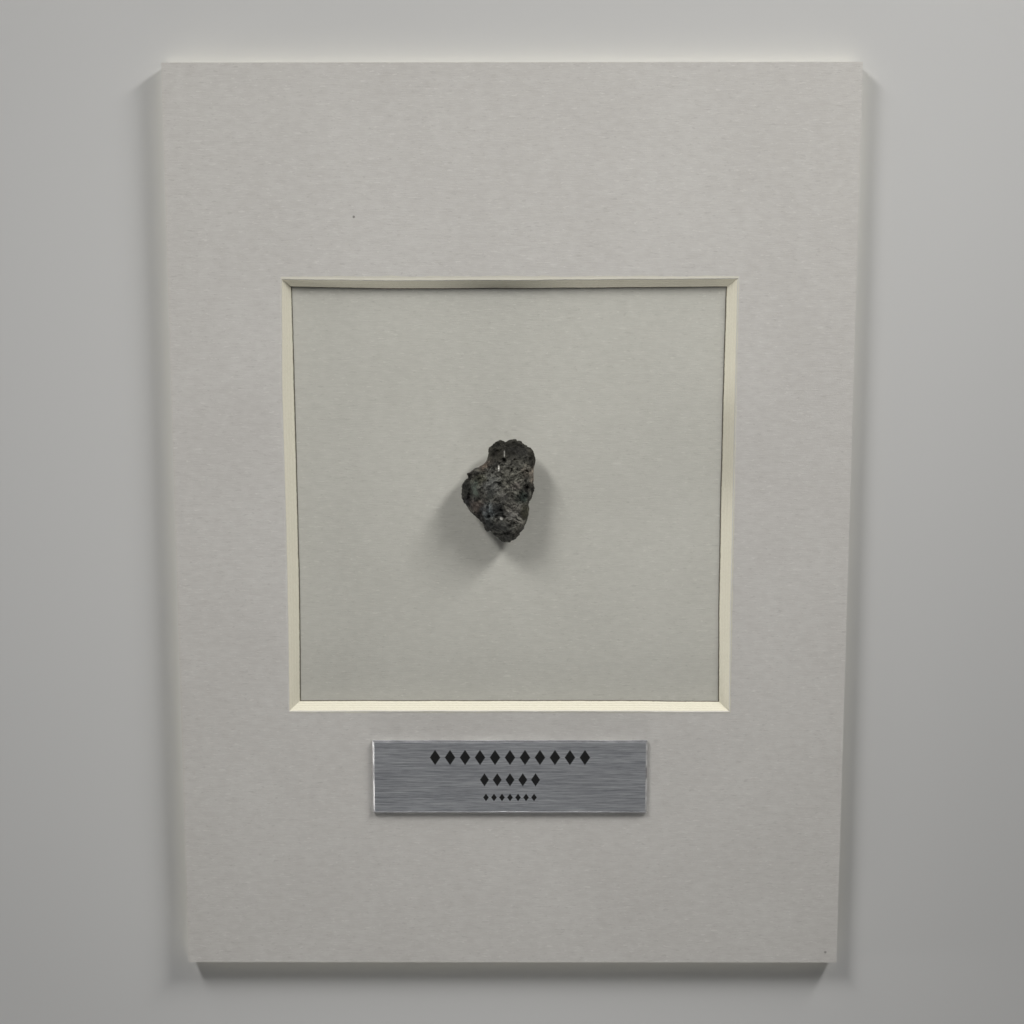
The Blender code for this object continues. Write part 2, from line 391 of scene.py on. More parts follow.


# %% [markdown]
# ## Paper faces
#
# Mat board is paper pulp pressed flat between two sheets of dyed paper. Its face is matt,
# with fibres that lie mostly along the machine's direction, here across the picture. Long
# thin noise gives the fibres, finer noise the tooth, and two soft clouds the slight
# unevenness of the dye. Now and then a stray hair of the pulp lies on top, paler or darker
# than the rest, and two dark specks are caught in the mat's face. The two boards share the
# recipe and differ in their dye. Along the window the knife has lifted a ragged hair of
# the mat's face paper, so the core shows, and the cream rim painted there is also a painted
# highlight, the light that the lifted lip catches.


# %% Mix the papers
FIBRE = (1.5 * MM, 0.16 * MM, 0.3 * MM)
LINT = (0.9 * MM, 0.22 * MM, 0.4 * MM)
TOOTH = 0.12 * MM
MOTTLE = (1.7 * MM, 0.8 * MM, 1.1 * MM)
CLOUD = 14 * MM
SPECK_COLOUR = (86, 82, 76)
BARE_CORE_AND_HIGHLIGHT = (226, 223, 202)


def paper(name, pale, deep, specks=(), face=0.0, torn_rim_and_highlight=None):
    """Paper between two dyes, specks on a face at this height, perhaps a rim of core and painted
    highlight.
    """
    recipe = Recipe(name)
    fibre = recipe.grain(FIBRE, detail=3.0, rough=0.6, twist=0.4)
    tooth = recipe.grain(TOOTH, detail=2.0)
    cloud = recipe.grain(CLOUD, detail=3.0)
    mottle = recipe.grain(MOTTLE, detail=3.0, rough=0.6)
    blend = recipe.calc("MULTIPLY_ADD", fibre, 0.3, recipe.calc("MULTIPLY", cloud, 0.25))
    blend = recipe.calc("MULTIPLY_ADD", mottle, 0.4, blend)
    colour = recipe.mix(recipe.spread(blend, 0.36, 0.64), srgb(*deep), srgb(*pale))
    lint = recipe.grain(LINT, detail=1.0, twist=0.8)
    light_hair = srgb(*(channel + 12 for channel in pale))
    dark_hair = srgb(*(channel - 14 for channel in deep))
    colour = recipe.mix(recipe.spread(lint, 0.66, 0.71, 0.0, 0.5), colour, light_hair)
    colour = recipe.mix(recipe.spread(lint, 0.29, 0.34, 0.5, 0.0), colour, dark_hair)
    for x, y, size, strength in specks:
        away = recipe.node("ShaderNodeVectorMath", operation="DISTANCE")
        recipe.put(recipe.place, away.inputs[0])
        away.inputs[1].default_value = (x * MM, y * MM, face)
        dark = recipe.spread(away.outputs["Value"], 0.4 * size * MM, size * MM, strength, 0.0)
        colour = recipe.mix(dark, colour, srgb(*SPECK_COLOUR))
    # The cream laid along the window's rim is bare core where the face paper tore, and a painted
    # highlight along the lifted lip.
    if torn_rim_and_highlight:
        centre, half, width = torn_rim_and_highlight
        off = []
        for i, axis in enumerate("XY"):
            aside = recipe.calc("SUBTRACT", recipe.axis(axis), centre[i])
            off.append(recipe.calc("SUBTRACT", recipe.calc("ABSOLUTE", aside), half[i]))
        frayed = recipe.grain(3 * MM, detail=4.0)
        ragged = recipe.calc("MULTIPLY_ADD", frayed, -3 * width, 1.5 * width)
        out = recipe.calc("ADD", recipe.calc("MAXIMUM", *off), ragged)
        bare_core_and_highlight = recipe.spread(out, 0.5 * width, 1.2 * width, 0.55, 0.0)
        colour = recipe.mix(bare_core_and_highlight, colour, srgb(*BARE_CORE_AND_HIGHLIGHT))
    soft = recipe.bump(fibre, 0.02 * MM)
    return recipe.finish(colour, 0.92, recipe.bump(tooth, 0.012 * MM, soft))


# x, y, radius, strength, in millimetres from the middle of the mount
MAT_SPECKS = ((-20.7, 41.4, 0.22, 0.75), (43.7, -59.5, 0.24, 0.6))
# The width of the cream rim: bare core and painted highlight along the window.
TORN_RIM_AND_HIGHLIGHT = 0.16 * MM
mat_face_paper = paper("mat_face_paper", (217, 215, 210), (204, 201, 196), MAT_SPECKS,
                       mat_high.z, (WINDOW_CENTRE, WINDOW_SIZE / 2, TORN_RIM_AND_HIGHLIGHT))
backing_paper = paper("backing_paper", (212, 211, 202), (200, 199, 190))
back_paper = paper("plain_back_paper", (218, 215, 206), (210, 207, 197))
print("three papers, with", len(MAT_SPECKS), "dark specks in the mat's face")

# %% [markdown]
# ## The cut edge of a board
#
# Where the board is cut, its core shows: cream pulp between two thin lines of paper. The
# core is built up of plies, so it is faintly striped along the cut, and the knife leaves
# it a little torn. The height above the board's underside tells the ply. On the mat, the
# lowest line is painted dark, as painted shade along the foot of the window's wall.


# %% Mix the cut edges
PLIES = 5.0
CORE_DEEP, CORE_PALE = (226, 221, 201), (239, 235, 217)


def cut_edge(name, bottom, thickness, face_dye, lining_and_foot_shade):
    """The side of a board: its bottom line, which is painted shade on the mat, the plies of its
    core and its face.
    """
    recipe = Recipe(name)
    height = recipe.calc("SUBTRACT", recipe.axis("Z"), bottom)
    ragged = recipe.grain((0.5 * MM, 0.5 * MM, 0.2 * MM), detail=3.0)
    height = recipe.calc("MULTIPLY_ADD", ragged, 0.05 * MM, height)
    share = recipe.calc("DIVIDE", height, thickness)
    plies = recipe.calc("SINE", recipe.calc("MULTIPLY", share, PLIES * math.tau))
    pulp = recipe.grain((0.35 * MM, 0.35 * MM, 0.07 * MM), detail=4.0, rough=0.65)
    tone = recipe.calc("MULTIPLY_ADD", plies, 0.06, pulp)
    core = recipe.mix(recipe.spread(tone, 0.25, 0.8), srgb(*CORE_DEEP), srgb(*CORE_PALE))
    with_face = recipe.mix(recipe.spread(share, 0.945, 0.965), core, srgb(*face_dye))
    colour = recipe.mix(recipe.spread(share, 0.09, 0.12, 1.0, 0.0), with_face, srgb(*lining_and_foot_shade))
    bumpy = recipe.bump(pulp, 0.05 * MM)
    return recipe.finish(colour, 0.95, recipe.bump(plies, 0.008 * MM, bumpy))


# The mat's dark bottom line (100, 95, 82) is painted shade along the foot of the window's wall,
# where it meets the backing board.
mat_core = cut_edge(
    "mat_cut_edge", mat_low.z, MAT_THICKNESS, (212, 209, 203), (100, 95, 82)
)
backing_core = cut_edge(
    "backing_cut_edge", board_low.z, board_high.z - board_low.z, (211, 210, 200), (210, 207, 197)
)

# %% [markdown]
# ## Backing board
#
# The backing is a plain rectangle of board. A cube is added at its real size and its edges
# get the tiny rounding that handling gives paper corners. The faces that the knife cut
# take the core's finish, the top its face paper and the underside its lining.


# %% Model the backing board
HANDLED_EDGE = 0.06 * MM


def dress_board(thing, face, edge, back):
    """Three materials by the way that each face looks: up, sideways or down."""
    for finish in (face, edge, back):
        thing.data.materials.append(finish)
    for polygon in thing.data.polygons:
        level = polygon.normal.z
        polygon.material_index = 0 if level > 0.9 else 2 if level < -0.9 else 1


deselect_all()
bpy.ops.mesh.primitive_cube_add(
    size=1, location=(board_low + board_high) / 2, scale=board_high - board_low
)
backing = settle(bpy.context.object, "backing_card")
apply_modifier(backing, "BEVEL", width=HANDLED_EDGE, segments=2)
dress_board(backing, backing_paper, backing_core, back_paper)
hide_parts("backing_board")
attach(backing, ROOT)
print("the backing board has", len(backing.data.polygons), "faces")

# %% [markdown]
# ## Window mat
#
# The window is cut by hand with a bevel knife, so its edges wander by a hair. It is
# modelled from the window outwards: a plane of the window's size loses its face, and its
# outline is extruded and resized four times, out to a narrow lip and to the card's edge,
# down, and back in under the bevel, where it meets the foot of the window's wall.

# %% Model the window mat
SIDE_CUTS = 119
LIP_WIDTH = 0.3 * MM
LIP_RISE = 0.035 * MM
foot_size = WINDOW_SIZE - Vector((2, 2)) * MAT_THICKNESS
lip_size = WINDOW_SIZE + Vector((2, 2)) * LIP_WIDTH
card_size = Vector((mat_high.x - mat_low.x, mat_high.y - mat_low.y))
to_card = Vector((-WINDOW_CENTRE.x, -WINDOW_CENTRE.y, 0))
down = Vector((0, 0, -MAT_THICKNESS))


def extrude_ring(old_size, new_size, centre, move):
    """Extrudes the selected outline, resizes it about its centre and moves it."""
    bpy.ops.mesh.extrude_region_move()
    bpy.ops.transform.resize(
        value=(new_size.x / old_size.x, new_size.y / old_size.y, 1),
        center_override=(centre.x, centre.y, mat_high.z),
    )
    bpy.ops.transform.translate(value=move)


deselect_all()
bpy.ops.mesh.primitive_plane_add(size=1, location=(*WINDOW_CENTRE, mat_high.z))
bpy.ops.transform.resize(value=(*WINDOW_SIZE, 1))
mat = settle(bpy.context.object, "mat_board")
pick(mat, "FACE", lambda face: True)
bpy.ops.mesh.delete(type="ONLY_FACE")
bpy.ops.mesh.select_mode(type="EDGE")
bpy.ops.mesh.select_all(action="SELECT")
bpy.ops.mesh.subdivide(number_cuts=SIDE_CUTS)
rise = Vector((0, 0, LIP_RISE))
middle = Vector((0, 0))
extrude_ring(WINDOW_SIZE, lip_size, WINDOW_CENTRE, -rise)
extrude_ring(lip_size, card_size, WINDOW_CENTRE, to_card)
extrude_ring(card_size, card_size, middle, down + rise)
extrude_ring(card_size, foot_size, middle, -to_card)

# %% [markdown]
# The ring now ends at the bevel's foot. The window's own outline, untouched so far, is
# extruded once more, down the bevel, and the doubled corners at the foot are merged. Then
# the knife strays. Its slow bow along each side follows the real window's edges, read at
# five stations for the rim and for the foot, because it leaned a little as it went. Noise
# adds the small jitter.

# %% Close the bevel and let the knife wander
SLACK = 0.01 * MM
JITTER = ((0.035 * MM, 5.0 * MM), (0.02 * MM, 0.9 * MM))
REACH = 1.0 * MM
# How far out each side strays, in hundredths of a millimetre, at its rim and at its foot,
# from the left to the right or from the bottom to the top
STRAYED = {
    (0, -1): ((25, 15, 20, 33, 5), (-12, -28, -22, -13, 0)),
    (0, 1): ((0, -7, -1, 0, 5), (-28, -46, -46, -40, -22)),
    (1, -1): ((0, -3, -5, -3, 5), (-12, -14, -14, -16, -2)),
    (1, 1): ((-22, -40, -36, -26, -15), (-10, -36, -33, -24, -11)),
}


def off_window(point):
    """How far a point lies outside the window's outline, or inside it if negative."""
    return max(abs(point[i] - WINDOW_CENTRE[i]) - WINDOW_SIZE[i] / 2 for i in (0, 1))


pick(mat, "EDGE", lambda edge: all(
    abs(off_window(v.co)) < SLACK and mat_high.z - v.co.z < SLACK for v in edge.verts
))
extrude_ring(WINDOW_SIZE, foot_size, WINDOW_CENTRE, down)
bpy.ops.mesh.select_all(action="SELECT")
bpy.ops.mesh.remove_doubles(threshold=SLACK / 2)
bpy.ops.mesh.normals_make_consistent(inside=False)
settle(mat, "mat_board")


def wander(point):
    """How far the knife strayed: axis 0 moves the left and right sides, axis 1 the others."""
    foot = int(point.z < (mat_low.z + mat_high.z) / 2)
    half = (foot_size if foot else WINDOW_SIZE) / 2
    along = [(point[i] - WINDOW_CENTRE[i]) / half[i] for i in (0, 1)]
    strayed = Vector()
    for (i, side), tables in STRAYED.items():
        bow = np.interp(along[1 - i], (-1, -0.5, 0, 0.5, 1), tables[foot]) * 0.01 * MM
        strayed[i] += side * bow * min(1.0, max(0.0, side * along[i])) ** 8
    for k, (size, length) in enumerate(JITTER):
        shake = noise.noise_vector(point / length + Vector((5.1 * k, 0, 9.3)))
        strayed += Vector((shake.x, shake.y, 0)) * size
    return strayed


for corner in mat.data.vertices:
    if off_window(corner.co) < REACH:
        corner.co += wander(corner.co)

dress_board(mat, mat_face_paper, mat_core, back_paper)
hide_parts("window_mat")
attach(mat, ROOT)
print(len(mat.data.vertices), "corners in the mat,", len(mat.data.polygons), "faces")

# %% [markdown]
# ## Brushed metal
#
# The nameplate is thin aluminium sheet, brushed along its length and then cut with a
# bevelled edge. Brushing leaves thousands of long shallow scratches: noise drawn out
# forty times longer than it is wide, used three ways at once, as a faint change of
# colour, of roughness and of height. Its middle has a generic ornament in black: three
# rows of small lozenges. A lozenge is where the distances along and across a row's middle
# add up to less than one, and a ping-pong node repeats it along the row.

# %% Mix the brushed metal
PLATE_CENTRE = (plate_low + plate_high) / 2
# Each row's height over the middle, its pitch, its lozenges' height and their count
ROWS = ((2.80 * MM, 2.05 * MM, 2.2 * MM, 11), (-0.35 * MM, 1.75 * MM, 1.9 * MM, 5),
        (-2.85 * MM, 1.10 * MM, 1.1 * MM, 7))
METAL_DEEP, METAL_PALE, METAL_CLOUD = (149, 152, 161), (250, 253, 255), (190, 191, 194)
INK = (9, 9, 10)


def brushed_metal():
    recipe = Recipe("brushed_aluminium")
    long_scratch = recipe.grain((7.0 * MM, 0.16 * MM, 5 * MM), detail=4.0, rough=0.7)
    fine_scratch = recipe.grain((2.2 * MM, 0.05 * MM, 5 * MM), detail=3.0, rough=0.7)
    cloud = recipe.grain((12 * MM, 5 * MM, 5 * MM), detail=1.0)
    half_long = recipe.calc("MULTIPLY", long_scratch, 0.5)
    scratch = recipe.calc("MULTIPLY_ADD", fine_scratch, 0.5, half_long)
    metal = recipe.mix(recipe.spread(scratch, 0.38, 0.62), srgb(*METAL_DEEP), srgb(*METAL_PALE))
    metal = recipe.mix(recipe.spread(cloud, 0.3, 0.7, 0.0, 0.25), metal, srgb(*METAL_CLOUD))
    x, y = recipe.axis("X"), recipe.axis("Y")
    ink = 0.0
    for height, pitch, size, count in ROWS:
        across = recipe.calc("SUBTRACT", x, PLATE_CENTRE.x)
        steps = recipe.calc("PINGPONG", recipe.calc("ABSOLUTE", across), pitch / 2)
        above = recipe.calc("SUBTRACT", y, PLATE_CENTRE.y + height)
        from_row = recipe.calc("ABSOLUTE", above)
        lozenge = recipe.calc("ADD", recipe.calc("DIVIDE", steps, 0.36 * pitch),
                              recipe.calc("DIVIDE", from_row, size / 2))
        mark = recipe.spread(lozenge, 0.92, 1.05, 1.0, 0.0)
        inside = recipe.calc("LESS_THAN", recipe.calc("ABSOLUTE", across), count * pitch / 2)
        ink = recipe.calc("MAXIMUM", recipe.calc("MULTIPLY", mark, inside), ink)
    colour = recipe.mix(ink, metal, srgb(*INK))
    rough = recipe.spread(scratch, 0.3, 0.7, 0.42, 0.32)
    roughness = recipe.calc("MAXIMUM", rough, recipe.calc("MULTIPLY", ink, 0.6))
    normal = recipe.bump(scratch, 0.012 * MM)
    made = recipe.finish(colour, roughness, normal)
    recipe.put(recipe.spread(ink, 0.0, 1.0, 0.66, 0.0), recipe.shader.inputs["Metallic"])
    return made


def cut_bevel(name, deep, pale):
    """A bevel finish between two colours, hardly a mirror, made once light as painted highlight
    and once dark as painted shade.
    """
    recipe = Recipe(name)
    nicks = recipe.grain((1.6 * MM, 1.6 * MM, 0.5 * MM), detail=3.0)
    colour = recipe.mix(recipe.spread(nicks, 0.38, 0.62), srgb(*deep), srgb(*pale))
    return recipe.finish(colour, recipe.spread(nicks, 0.3, 0.7, 0.5, 0.35), None, 0.35)


brushed_aluminium = brushed_metal()
# The bevels are one finish made twice: light for the short sides as a painted highlight, dark for
# the long sides as painted shade.
lit_side_bevel = cut_bevel("painted_highlight_bevel", (150, 150, 152), (222, 222, 222))
shaded_long_bevel = cut_bevel("painted_shade_bevel", (108, 109, 112), (142, 143, 146))
print("the ornament has", sum(row[-1] for row in ROWS), "lozenges in", len(ROWS), "rows")

# %% [markdown]
# ## Nameplate
#
# A cube is added at the plate's real size. The rim of its face is bevelled at 45 degrees,
# which is what catches the lamps, and then every sharp edge is broken by a hair. The
# bevels on the short sides are painted light and those on the long sides dark: painted
# highlight and painted shade.

# %% Model the nameplate
FACE_BEVEL = 0.25 * MM
BROKEN_EDGE = 0.02 * MM
deselect_all()
bpy.ops.mesh.primitive_cube_add(size=1, location=PLATE_CENTRE, scale=plate_high - plate_low)
plate = settle(bpy.context.object, "brushed_nameplate")
pick(plate, "FACE", lambda face: face.normal.z > 0.9)
bpy.ops.mesh.bevel(offset=FACE_BEVEL, segments=1, affect="EDGES")
bpy.ops.object.mode_set(mode="OBJECT")
apply_modifier(plate, "BEVEL", width=BROKEN_EDGE, segments=1, limit_method="ANGLE")
# The sideways bevels take the light copy, a painted highlight, and the long ones the dark copy,
# painted shade.
for finish in (brushed_aluminium, lit_side_bevel, shaded_long_bevel):
    plate.data.materials.append(finish)
for face in plate.data.polygons:
    sloped = 0.1 < face.normal.z < 0.9
    sideways = abs(face.normal.x) > abs(face.normal.y)
    face.material_index = 0 if not sloped else 1 if sideways else 2
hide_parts("nameplate")
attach(plate, ROOT)
print("the nameplate has", len(plate.data.polygons), "faces")

# %% [markdown]
# ## Putty dab
#
# Mounting putty is rolled to a ball and pressed flat by the thing that it holds, so it is
# a low cushion with a bulged, uneven rim. A ball is added in the dab's box and its corners
# are moved: two waves run round the rim, and the top and bottom are squared off flat. It
# is seen only from low down, if at all.

# %% Model the putty
def putty_finish():
    recipe = Recipe("mounting_putty")
    cloud = recipe.grain(0.8 * MM, detail=3.0)
    colour = recipe.mix(recipe.spread(cloud, 0.3, 0.7), srgb(198, 194, 180), srgb(212, 209, 198))
    return recipe.finish(colour, 0.6, recipe.bump(cloud, 0.03 * MM))


SQUARED = 1.7
dab_size = dab_high - dab_low
dab_middle = (dab_low + dab_high) / 2
deselect_all()
bpy.ops.mesh.primitive_uv_sphere_add(
    segments=48, ring_count=16, radius=0.5, location=dab_middle, scale=dab_size
)
dab = settle(bpy.context.object, "pressed_putty")
for corner in dab.data.vertices:
    off = corner.co - dab_middle
    around = math.atan2(off.y, off.x)
    pulled = 0.94 + 0.06 * math.sin(3 * around + 0.7) * math.sin(2 * around)
    corner.co.x = dab_middle.x + off.x * pulled
    corner.co.y = dab_middle.y + off.y * pulled
    squared = min(1.0, abs(off.z) / (dab_size.z / 2) * SQUARED)
    corner.co.z = dab_middle.z + math.copysign(squared * dab_size.z / 2, off.z)
activate(dab)
bpy.ops.object.shade_smooth_by_angle(angle=math.radians(60))
dab.data.materials.append(putty_finish())
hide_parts("putty_dab")
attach(dab, ROOT)
print("the putty is", round(dab_size.z / MM, 2), "mm thick")

# %% [markdown]
# ## The stone's form
#
# The model's stone has the right outline, lumps and grooves, but it is coarse. Its mesh
# is copied, its loose triangles are merged, a voxel remesh evens the faces out, and one
# subdivision brings them down to seven hundredths of a millimetre. The rest is sculpting:
# each corner is pushed along its normal by noise for the froth of tiny bubbles and
# grains, and by listed strokes for the pits, threads and smooth glassy patches.

# %% Copy and refine the stone
VOXEL = 0.13 * MM
deselect_all()
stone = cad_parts["meteorite"].copy()
stone.data = stone.data.copy()
for key in list(stone.keys()):
    del stone[key]
bpy.context.scene.collection.objects.link(stone)
stone.parent = None
stone.data.materials.clear()
settle(stone, "meteorite_stone")
bpy.ops.object.mode_set(mode="EDIT")
bpy.ops.mesh.select_all(action="SELECT")
bpy.ops.mesh.remove_doubles(threshold=0.001 * MM)
bpy.ops.object.mode_set(mode="OBJECT")
apply_modifier(stone, "REMESH", mode="VOXEL", voxel_size=VOXEL, adaptivity=0)
apply_modifier(stone, "SUBSURF", levels=1, render_levels=1)
print(len(stone.data.vertices), "corners in the stone after the remesh")

# %% [markdown]
# The stone is one real stone, so what can be told apart on it has a place of its own:
# smooth glassy patches, dark holes, and threads of pale mineral that stand out a little.
# All places and sizes are in millimetres from the stone's centre, seen from above.

# %% Place the patches, pits and threads
# x, y, radius across, radius along, turn in degrees, share of the froth taken away
SMOOTH_PATCHES = (
    (-0.65, 4.75, 1.10, 0.75, 20, 0.95), (2.20, 5.20, 1.60, 0.75, -5, 0.8),
    (-3.35, 0.35, 0.50, 1.10, 0, 0.9), (-2.95, -2.00, 1.10, 0.80, -30, 0.85),
    (0.40, -4.60, 1.10, 0.65, 0, 0.75), (3.30, -2.90, 0.55, 1.10, 0, 0.85),
    (1.45, -3.10, 0.75, 0.55, 0, 0.85), (-1.35, -0.45, 0.50, 0.75, 0, 0.7),
    (0.50, -0.60, 0.70, 0.75, 0, 0.6), (2.10, 0.90, 0.60, 0.55, 0, 0.5),
    (-0.50, -2.35, 0.60, 0.90, 20, 0.7), (4.10, 4.70, 0.50, 0.90, 0, 0.7),
)
# x, y, radius, depth: the dark holes that can be told apart
PITS = (
    (3.62, 0.27, 0.34, 0.30), (-1.70, -2.10, 0.20, 0.22), (-1.50, -3.35, 0.20, 0.22),
    (-2.50, 0.40, 0.20, 0.20), (-2.90, -1.10, 0.26, 0.18), (0.50, 4.15, 0.24, 0.26),
    (-0.20, 3.85, 0.20, 0.22), (3.50, 2.70, 0.20, 0.24), (4.00, 4.30, 0.20, 0.20),
    (1.20, -4.55, 0.22, 0.18), (-0.50, -3.30, 0.26, 0.20), (-0.60, 6.25, 0.35, 0.16),
    (1.75, 6.30, 0.22, 0.18), (1.50, 2.90, 0.20, 0.20), (1.90, 4.20, 0.20, 0.16),
    (-0.30, 5.35, 0.20, 0.18), (-0.90, 4.80, 0.16, 0.12), (-2.60, -2.65, 0.40, 0.10),
    (1.00, 1.00, 0.22, 0.18), (-0.15, 1.10, 0.24, 0.16), (-4.30, 1.90, 0.22, 0.12),
)
# Thin threads of pale mineral that stand out a little, each a chain of places x, y
VEINS = (
    ((0.64, -1.87), (1.22, -2.53), (1.81, -2.60), (2.39, -2.02), (2.97, -1.50)),
    ((-0.60, 0.04), (0.06, -0.55), (0.93, 0.04), (1.81, 0.11)),
    ((0.21, 2.38), (1.23, 2.24), (2.39, 2.53), (3.26, 2.97)),
    ((-2.12, 0.63), (-1.39, 1.21), (-0.52, 1.51), (0.06, 2.02)),
    ((-2.93, -0.99), (-1.99, -1.72), (-1.55, -2.60)), ((1.95, -0.47), (2.39, 0.04)),
    ((-0.95, 6.17), (0.07, 6.64), (0.80, 6.83)), ((1.01, 6.46), (1.81, 6.75), (2.97, 6.32)),
    ((2.39, -4.08), (3.19, -4.22)), ((1.81, -2.90), (2.98, -3.93)),
    ((-2.33, 3.62), (-1.61, 3.11)), ((1.81, 4.28), (2.54, 3.84), (3.70, 3.40)),
    ((-1.55, -1.87), (-1.25, -1.13), (-0.52, -0.55)),
    ((0.05, -4.37), (1.22, -4.96), (2.24, -4.67)),
    ((1.81, -5.40), (2.39, -4.96), (2.98, -4.37)),
    ((-1.53, 5.59), (-0.51, 5.45), (0.07, 5.88)),
    ((2.39, 1.94), (1.81, 1.36), (2.68, 0.63)), ((-1.83, 2.24), (-1.25, 2.53), (-0.67, 2.09)),
)
print(len(SMOOTH_PATCHES), "smooth patches,", len(PITS), "pits and", len(VEINS), "threads")

# %% [markdown]
# The sculpting works on all corners at once, as arrays in millimetres. A stroke is a soft
# round mask: it is one at its middle and fades at its radius. Froth is a Voronoi pattern,
# whose cells are the bubbles, and clouds and drifts are smooth noise. Drifts are the kind
# of noise that starts from the clock, so only with the seed does every run give this stone.

# %% Make the sculpting tools
stone_middle = Vector((*STONE_CENTRE, (stone_low.z + stone_high.z) / 2))
points = np.empty(len(stone.data.vertices) * 3, np.float64)
stone.data.vertices.foreach_get("co", points)
points = points.reshape(-1, 3)
normals = np.empty(len(stone.data.vertices) * 3, np.float32)
stone.data.vertices.foreach_get("normal", normals)
normals = normals.reshape(-1, 3)
local = (points - np.array(stone_middle)) / MM
# 1 on all that looks up, fading to 0 on the underside
upper = np.clip(normals[:, 2] * 2.5 + 0.8, 0, 1)


def stroke(x, y, across, along, turn=0.0, places=local):
    """A soft round or oval mask on the upper side: 1 at its middle, fading to 0."""
    angle = math.radians(turn)
    dx, dy = places[:, 0] - x, places[:, 1] - y
    u = (dx * math.cos(angle) + dy * math.sin(angle)) / across
    v = (dy * math.cos(angle) - dx * math.sin(angle)) / along
    return np.exp(-((u**2 + v**2) ** 1.5)) * upper


def froth(size, offset):
    """Rounded bubbles packed together: high in their middles and cut in between."""
    found = np.empty(len(local))
    for i, place in enumerate(local):
        near = noise.voronoi(Vector(place) / size + offset)[0]
        found[i] = min(1.0, (near[1] - near[0]) * 2.0) ** 0.6
    return found - 0.62


def cloud(size, offset):
    """A smooth noise around zero for each corner."""
    return np.array([noise.noise(Vector(place) / size + offset) for place in local])


def drift(size, offset):
    """A ragged shift for each corner, as an array of x, y and z."""
    return np.array([noise.noise_vector(Vector(place) / size + offset) for place in local])


def store(name, values, kind="FLOAT"):
    """Keeps a value or a colour on each corner, for the shader to read."""
    made = stone.data.attributes.new(name, kind, "POINT")
    member = "color" if kind == "FLOAT_COLOR" else "value"
    made.data.foreach_set(member, np.ravel(values).astype(np.float32))


# %% [markdown]
# Froth comes in four sizes of bubble, each lower than the one before, and hollows in two.
# The smooth patches hold both back. Steep sides get up to nearly twice as much, because
# they are seen edge on, and it all fades out at the flat spot below. The stone is kept in
# its solid's box, and its relief, rough skin and threads are stored for the paint, the
# relief for painted shade in the hollows and a painted highlight on what stands up.

# %% Sculpt the surface
# size, height or depth
FROTH = ((1.25, 0.10), (0.62, 0.06), (0.34, 0.055), (0.20, 0.044))
HOLLOWS = ((0.50, 0.055), (0.27, 0.07))
VEIN_WIDTH, VEIN_RISE, VEIN_DRIFT = 0.11, 0.05, 0.32
STEEP_GAIN = 0.9
FLAT_SPOT_FADE = 0.5 * MM
RELIEF_RANGE = 0.25


def veins():
    """The threads, one on their middles, with a ragged course and an uneven strength."""
    found = np.zeros(len(local))
    flat = (local + VEIN_DRIFT * drift(0.5, Vector((3.0, 1.0, 0.0))))[:, :2]
    for chain in VEINS:
        for start, end in zip(chain, chain[1:]):
            along = np.subtract(end, start)
            share = np.clip((flat - start) @ along / (along @ along), 0, 1)
            away = np.linalg.norm(flat - start - share[:, None] * along, axis=1)
            found = np.maximum(found, np.clip(1.5 - away / VEIN_WIDTH, 0, 1))
    return found * np.clip(0.8 + 1.2 * cloud(0.5, Vector((0.0, 6.0, 2.0))), 0, 1) * upper


rough = np.ones(len(local))
for x, y, across, along, turn, share in SMOOTH_PATCHES:
    rough *= 1 - share * stroke(x, y, across, along, turn)
uneven = 0.7 + 0.6 * cloud(1.6, Vector((4.0, 1.0, 7.0)))
push = np.zeros(len(local))
for k, (size, height) in enumerate(FROTH):
    push += height * froth(size, Vector((1.3 * k, 2.7, 0.4 * k))) * rough * uneven
for k, (size, depth) in enumerate(HOLLOWS):
    deep = np.clip(cloud(size, Vector((0.0, 3.1 * k, 5.5))) - 0.12, 0, 0.35) / 0.35
    push -= depth * deep * rough
for x, y, radius, depth in PITS:
    push -= depth * stroke(x, y, radius, radius)
threads = veins()
push += VEIN_RISE * threads
push *= 1 + STEEP_GAIN * np.clip(1 - np.abs(normals[:, 2]) * 1.6, 0, 1)
push *= np.clip((points[:, 2] - stone_low.z) / FLAT_SPOT_FADE, 0, 1)
moved = points + normals * (push[:, None] * MM)
moved = np.clip(moved, np.array(stone_low), np.array(stone_high))
stone.data.vertices.foreach_set("co", moved.ravel().astype(np.float32))
# The relief goes into the paint as painted shade in the hollows and pits and a painted highlight
# on what stands up.
store("relief", np.clip(0.5 + push / RELIEF_RANGE, 0, 1))
store("rough_skin", rough)
store("veins", threads)
print("froth from", round(float(push.min()), 3), "to", round(float(push.max()), 3), "mm")

# %% [markdown]
# ## The stone's colours
#
# It is a breccia: broken bits of many rocks, in dark glass. So the surface is painted
# like a wall in a mural, with a few dozen dabs of earth colours where they lie on the
# stone, greenish, rusty, olive and grey. Three small white grains are told apart as well.

# %% Place the colours
BASE = (68, 67, 62)
